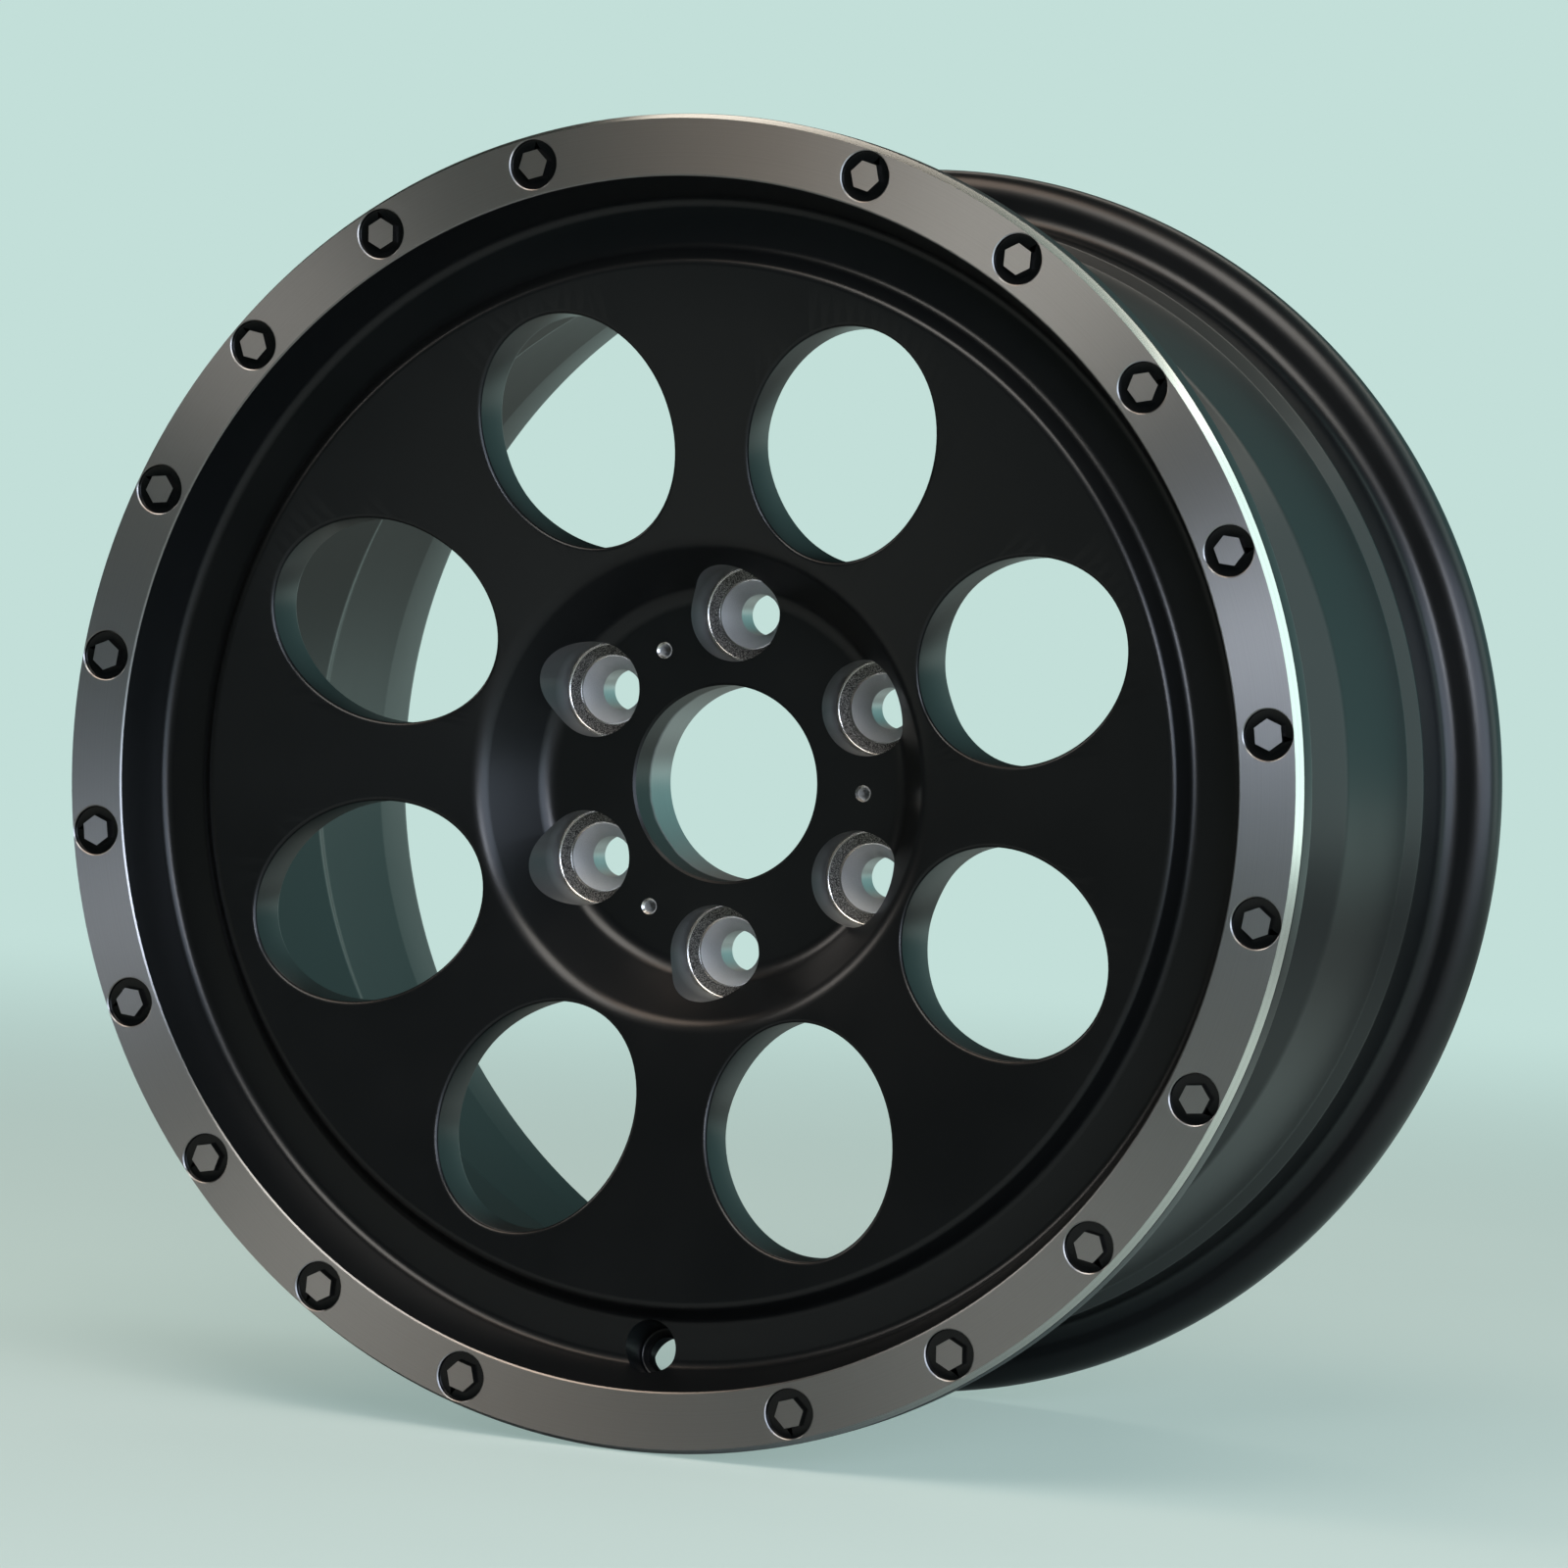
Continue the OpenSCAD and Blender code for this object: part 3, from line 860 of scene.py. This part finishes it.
# Drilled and reamed aluminium, bare: satin, with fine rings down the wall
def reamedBore():
    material, tree, shader, tones, place = newMaterial("reamedAluminium", bare, bare["reamed"], 1.0)
    grooves(tree, tones, place, False)
    return material


# Mounting face, turned and left bare: bright grey with concentric lines
def turnedPad():
    material, tree, shader, tones, place = newMaterial("turnedBareAluminium", bare, bare["faced"], 1.0)
    grooves(tree, tones, place, True)
    return material


# Centre bore: coated at the front and masked bare behind, with a fuzzy line between and scuffs from fitting
def boreWall():
    material, tree, shader, tones, place = newMaterial("maskedTurnedAluminium", bore, bore["roughness"])
    grooves(tree, tones, place, False)
    depth = addNode(tree, "SeparateXYZ", links={0: place}).outputs["Y"]
    settings = {"Scale": 1 / (bore["wander"] * mm), "Detail": 4.0}
    waves = addNode(tree, "TexNoise", settings, {"Vector": place})
    settings = {"operation": "MULTIPLY_ADD", 1: bore["wave"] * mm}
    edge = addNode(tree, "Math", settings, {0: waves.outputs["Fac"], 2: depth})
    line = (hubFace + bore["maskedFrom"] + bore["wave"] / 2 - halfWidth) * mm
    settings = {"From Min": line - bore["fuzz"] / 2 * mm, "From Max": line + bore["fuzz"] / 2 * mm}
    metal = addNode(tree, "MapRange", settings, {"Value": edge.outputs[0]}).outputs[0]
    settings = {"data_type": "RGBA", 6: hexColour(bore["coat"])}
    mix = addNode(tree, "Mix", settings, {0: metal, 7: tones.outputs[2]})
    tree.links.new(mix.outputs[2], shader.inputs["Base Color"])
    tree.links.new(metal, shader.inputs["Metallic"])
    long = 1 / (bore["scuffLength"] * mm)
    wide = 1 / (bore["scuffWidth"] * mm)
    stretched = addNode(tree, "VectorMath", {"operation": "MULTIPLY", 1: (long, wide, long)}, {0: place})
    scuffs = addNode(tree, "TexNoise", {"Scale": 1.0, "Detail": 3.0}, {"Vector": stretched.outputs[0]})
    settings = {"Strength": 0.15, "Distance": bore["scuffHeight"] * mm}
    bump = addNode(tree, "Bump", settings, {"Height": scuffs.outputs["Fac"]})
    tree.links.new(bump.outputs[0], shader.inputs["Normal"])
    return material


materials = {
    "powderCoat": powderCoat(),
    "machinedRing": machinedRing(),
    "brightCut": brightCut(),
    "markPaint": markPaint(),
    "pocketWall": pocketWall(),
    "oversprayed": oversprayed(),
    "coneSeat": coneSeat(),
    "reamedBore": reamedBore(),
    "turnedPad": turnedPad(),
    "boreWall": boreWall(),
}
print("finishes made,", len(materials))


# The wheel: the turned blank, then its cuts

# The section's points from the bore outward, up to a radius
def takeRun(points, farR):
    run = []
    for p in points:
        if p.x > farR:
            break
        if not run or p.x > run[-1][0]:
            run.append((p.x, p.y))
    return run


def buildWheel():
    front, tyreSide, inner = sectionCorners()
    loop = roundedLoop(front + tyreSide + inner)
    blank = turned("wheelForging", loop, rim["steps"], closed=True)
    print("blank turned,", len(blank.data.polygons), "faces")
    faceRun = takeRun(loop, discR - disc["runMargin"])
    backRun = takeRun(reversed(loop), channelInnerR - disc["runMargin"])

    def along(run):
        radii = [p[0] for p in run]

        def depthAt(r):
            i = min(max(bisect_left(radii, r), 1), len(run) - 1)
            (r0, d0), (r1, d1) = run[i - 1], run[i]
            return d0 + (d1 - d0) * (r - r0) / (r1 - r0)

        return depthAt

    def blankFinish(r, d):
        onFace = d < slack and r > ringInnerR
        onChamfer = d < ring["chamfer"] and ringInnerR < r < ringInnerR + ring["chamfer"]
        if onFace or onChamfer:
            return "machinedRing"
        if d < ring["brightTo"] and r > flangeR - ring["bevelWidth"]:
            return "brightCut"
        if d > padDepth - slack and r < hub["padRadius"]:
            return "turnedPad"
        if r < hub["boreRadius"] + hub["leadChamfer"] + slack and d > hubFace:
            return "boreWall"
        return "powderCoat"

    finish(blank, blankFinish)
    for cutter in (
        windowCutter(along(faceRun), along(backRun)),
        lugCutter(),
        markCutter(),
        capScrewCutter(),
        reliefCutter(),
        valveCutter(),
    ):
        print("cutting with", cutter.name)
        cut(blank, cutter)
    keepLargest(blank)
    return placed(blank, 0, 0, -halfWidth)


# Deletes the slivers that a cut can leave behind, all that the outermost point isn't joined to
def keepLargest(obj):
    only(obj)
    bpy.ops.object.mode_set(mode="EDIT")
    bpy.ops.mesh.select_mode(type="VERT")
    bpy.ops.mesh.select_all(action="DESELECT")
    bpy.ops.object.mode_set(mode="OBJECT")
    max(obj.data.vertices, key=lambda v: v.co.x).select = True
    bpy.ops.object.mode_set(mode="EDIT")
    bpy.ops.mesh.select_linked()
    bpy.ops.mesh.select_all(action="INVERT")
    bpy.ops.mesh.delete(type="VERT")
    bpy.ops.object.mode_set(mode="OBJECT")


wheel = buildWheel()
wheel.name = "forgedWheel"
only(wheel)
bpy.ops.object.shade_smooth_by_angle(angle=math.radians(rim["smoothBelow"]))
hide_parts("wheel")
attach(wheel, "root")
print("wheel built,", len(wheel.data.polygons), "faces")


# Camera, floor and lights

# The place and axes are those of the photo's camera, solved from the circles of the wheel in it
camera = {
    "place": (0.84099, -2.06307, 0.06790),
    "right": (0.92304, 0.37980, 0.06115),
    "up": (-0.06826, 0.00526, 0.99765),
    "forward": (-0.37859, 0.92505, -0.03078),
    "lens": 148.445,  # mm
    "sensor": 36,  # mm wide
}
lensData = bpy.data.cameras.new("camera")
lensData.lens = camera["lens"]
lensData.sensor_width = camera["sensor"]
cameraObject = bpy.data.objects.new("camera", lensData)
columns = [Vector(camera["right"]), Vector(camera["up"]), -Vector(camera["forward"])]
cameraObject.matrix_world = Matrix.Translation(camera["place"]) @ Matrix(columns).transposed().to_4x4()
scene.collection.objects.link(cameraObject)
scene.camera = cameraObject
print("camera placed")

studio = {
    "background": "#c3dfd9",
    "backdrop": "#84b7b5",  # the backdrop as the wheel reflects it
    "backdropHeading": (0.80, 0.60, 0.0),
    "dark": 0.03,  # strength away from the backdrop
    "bright": 1.0,
    "darkTo": 0.3,  # as the cosine between a ray and the backdrop's heading
    "behindFrom": 0.97,  # as the cosine between a ray and the wheel's own axis
}
ground = {
    "dark": "#969c9a",
    "light": "#a0a6a4",
    "roughness": 0.8,
    "mottle": 0.5,  # m
    "size": 60.0,
    "glow": 0.5,  # what the floor by the wheel adds for the camera
    "fadeFrom": 0.7,  # m from the wheel, where the floor starts to turn into the background
    "fadeTo": 2.6,
    "mirrorTo": 0.4,  # m towards the backdrop, from where the wheel mirrors the floor as the camera sees it
    "nearTo": 0.9,  # m, and between here and the fade it mirrors the bare paint
}


# Matt painted floor, very slightly mottled, that passes into the background away from the wheel
def floorMaterial():
    material, tree, shader, tones, place = newMaterial("mattFloorPaint", ground, ground["roughness"])
    settings = {"Scale": 1 / ground["mottle"], "Detail": 3.0}
    cloud = addNode(tree, "TexNoise", settings, {"Vector": place}).outputs["Fac"]
    tree.links.new(cloud, tones.inputs[0])
    away = addNode(tree, "VectorMath", {"operation": "LENGTH"}, {0: place}).outputs["Value"]
    settings = {
        "interpolation_type": "SMOOTHSTEP",
        "From Min": ground["fadeFrom"],
        "From Max": ground["fadeTo"],
    }
    fade = addNode(tree, "MapRange", settings, {"Value": away}).outputs[0]
    path = addNode(tree, "LightPath").outputs
    settings = {"operation": "DOT_PRODUCT", 1: studio["backdropHeading"]}
    along = addNode(tree, "VectorMath", settings, {0: place}).outputs["Value"]
    lit = addNode(tree, "MapRange", {"From Max": ground["mirrorTo"]}, {"Value": along}).outputs[0]
    settings = {"From Min": ground["nearTo"], "From Max": ground["nearTo"] / 2}
    near = addNode(tree, "MapRange", settings, {"Value": away}).outputs[0]
    ends = addNode(tree, "Math", {"operation": "MAXIMUM"}, {0: near, 1: fade}).outputs[0]
    share = addNode(tree, "Math", {"operation": "MULTIPLY"}, {0: ends, 1: lit}).outputs[0]
    glossy = path["Is Glossy Ray"]
    mirrored = addNode(tree, "Math", {"operation": "MULTIPLY"}, {0: glossy, 1: share}).outputs[0]
    eye = path["Is Camera Ray"]
    seen = addNode(tree, "Math", {"operation": "MAXIMUM"}, {0: eye, 1: mirrored}).outputs[0]
    gone = addNode(tree, "Math", {"operation": "MULTIPLY"}, {0: seen, 1: fade}).outputs[0]
    settings = {"data_type": "RGBA", 7: (0, 0, 0, 1)}
    colour = addNode(tree, "Mix", settings, {0: gone, 6: tones.outputs[2]})
    tree.links.new(colour.outputs[2], shader.inputs["Base Color"])
    glow = addNode(tree, "MapRange", {"To Min": ground["glow"]}, {"Value": fade}).outputs[0]
    shown = addNode(tree, "Math", {"operation": "MULTIPLY"}, {0: seen, 1: glow}).outputs[0]
    shader.inputs["Specular IOR Level"].default_value = 0.0
    shader.inputs["Emission Color"].default_value = hexColour(studio["background"])
    tree.links.new(shown, shader.inputs["Emission Strength"])
    return material


clearSelection()
bpy.ops.mesh.primitive_plane_add(size=ground["size"], location=(0, 0, cadBox[0].z))
floor = bpy.context.object
floor.name = "floor"
bpy.ops.object.transform_apply(location=True, rotation=True, scale=True)
floor.data.materials.append(floorMaterial())

lamps = (
    # name; heading from the front and rise, in degrees; distance, width and height, in m; brightness; colour
    ("rightSoftbox", 64, 12, 2.0, 1.7, 1.1, 3.2, "#dbe8ff"),
    ("frontRightLamp", 34, 14, 2.4, 0.5, 0.5, 14.0, "#ecf2ff"),
    ("overheadLamp", -48, 66, 2.0, 1.2, 0.8, 3.4, "#ffe6d2"),
    ("leftFillLamp", -63, 25, 2.2, 0.6, 0.6, 4.6, "#fff7f0"),
    ("frontOverheadLamp", 16, 50, 2.0, 1.3, 0.9, 4.6, "#fffaf2"),
    ("backOverheadLamp", 172, 49, 2.2, 2.8, 0.5, 1.6, "#fff6ea"),
    ("bevelLamp", 115, 22, 2.2, 1.0, 2.2, 1.05, "#e6f6f4"),
)
for name, heading, height, distance, width, tall, brightness, tint in lamps:
    light = bpy.data.lights.new(name, "AREA")
    light.shape = "RECTANGLE"
    light.size = width
    light.size_y = tall
    light.color = hexColour(tint)[:3]
    light.energy = math.pi * width * tall * brightness
    turn = math.radians(heading)
    rise = math.radians(height)
    towards = Vector((math.sin(turn) * math.cos(rise), -math.cos(turn) * math.cos(rise), math.sin(rise)))
    lamp = bpy.data.objects.new(name, light)
    lamp.location = towards * distance
    lamp.rotation_euler = (-towards).to_track_quat("-Z", "Y").to_euler()
    lamp.visible_camera = False
    scene.collection.objects.link(lamp)
print("floor laid,", len(lamps), "lamps hung")


# The camera sees a pale room; the wheel is lit by a mint backdrop on one side and a dim room on the other,
# and mirrors the pale room only straight behind it
def studioWorld():
    world = bpy.data.worlds.new("studio")
    scene.world = world
    world.use_nodes = True
    tree = world.node_tree
    tree.nodes.clear()
    heading = addNode(tree, "TexCoord").outputs["Generated"]
    settings = {"operation": "DOT_PRODUCT", 1: studio["backdropHeading"]}
    along = addNode(tree, "VectorMath", settings, {0: heading}).outputs["Value"]
    settings = {"From Min": studio["darkTo"], "To Min": studio["dark"], "To Max": studio["bright"]}
    light = addNode(tree, "MapRange", settings, {"Value": along}).outputs[0]
    room = addNode(tree, "Background", {"Color": hexColour(studio["backdrop"])}, {"Strength": light})
    view = addNode(tree, "Background", {"Color": hexColour(studio["background"])})
    path = addNode(tree, "LightPath").outputs
    rays = {0: path["Is Glossy Ray"], 1: path["Is Transmission Ray"]}
    mirrored = addNode(tree, "Math", {"operation": "MAXIMUM"}, rays).outputs[0]
    back = addNode(tree, "SeparateXYZ", links={0: heading}).outputs["Y"]
    behind = addNode(tree, "MapRange", {"From Min": studio["behindFrom"]}, {"Value": back}).outputs[0]
    shown = addNode(tree, "Math", {"operation": "MULTIPLY"}, {0: mirrored, 1: behind}).outputs[0]
    seen = addNode(tree, "Math", {"operation": "MAXIMUM"}, {0: path["Is Camera Ray"], 1: shown}).outputs[0]
    mix = addNode(tree, "MixShader", links={0: seen, 1: room.outputs[0], 2: view.outputs[0]})
    addNode(tree, "OutputWorld", links={"Surface": mix.outputs[0]})


studioWorld()

scene.view_settings.view_transform = "Standard"
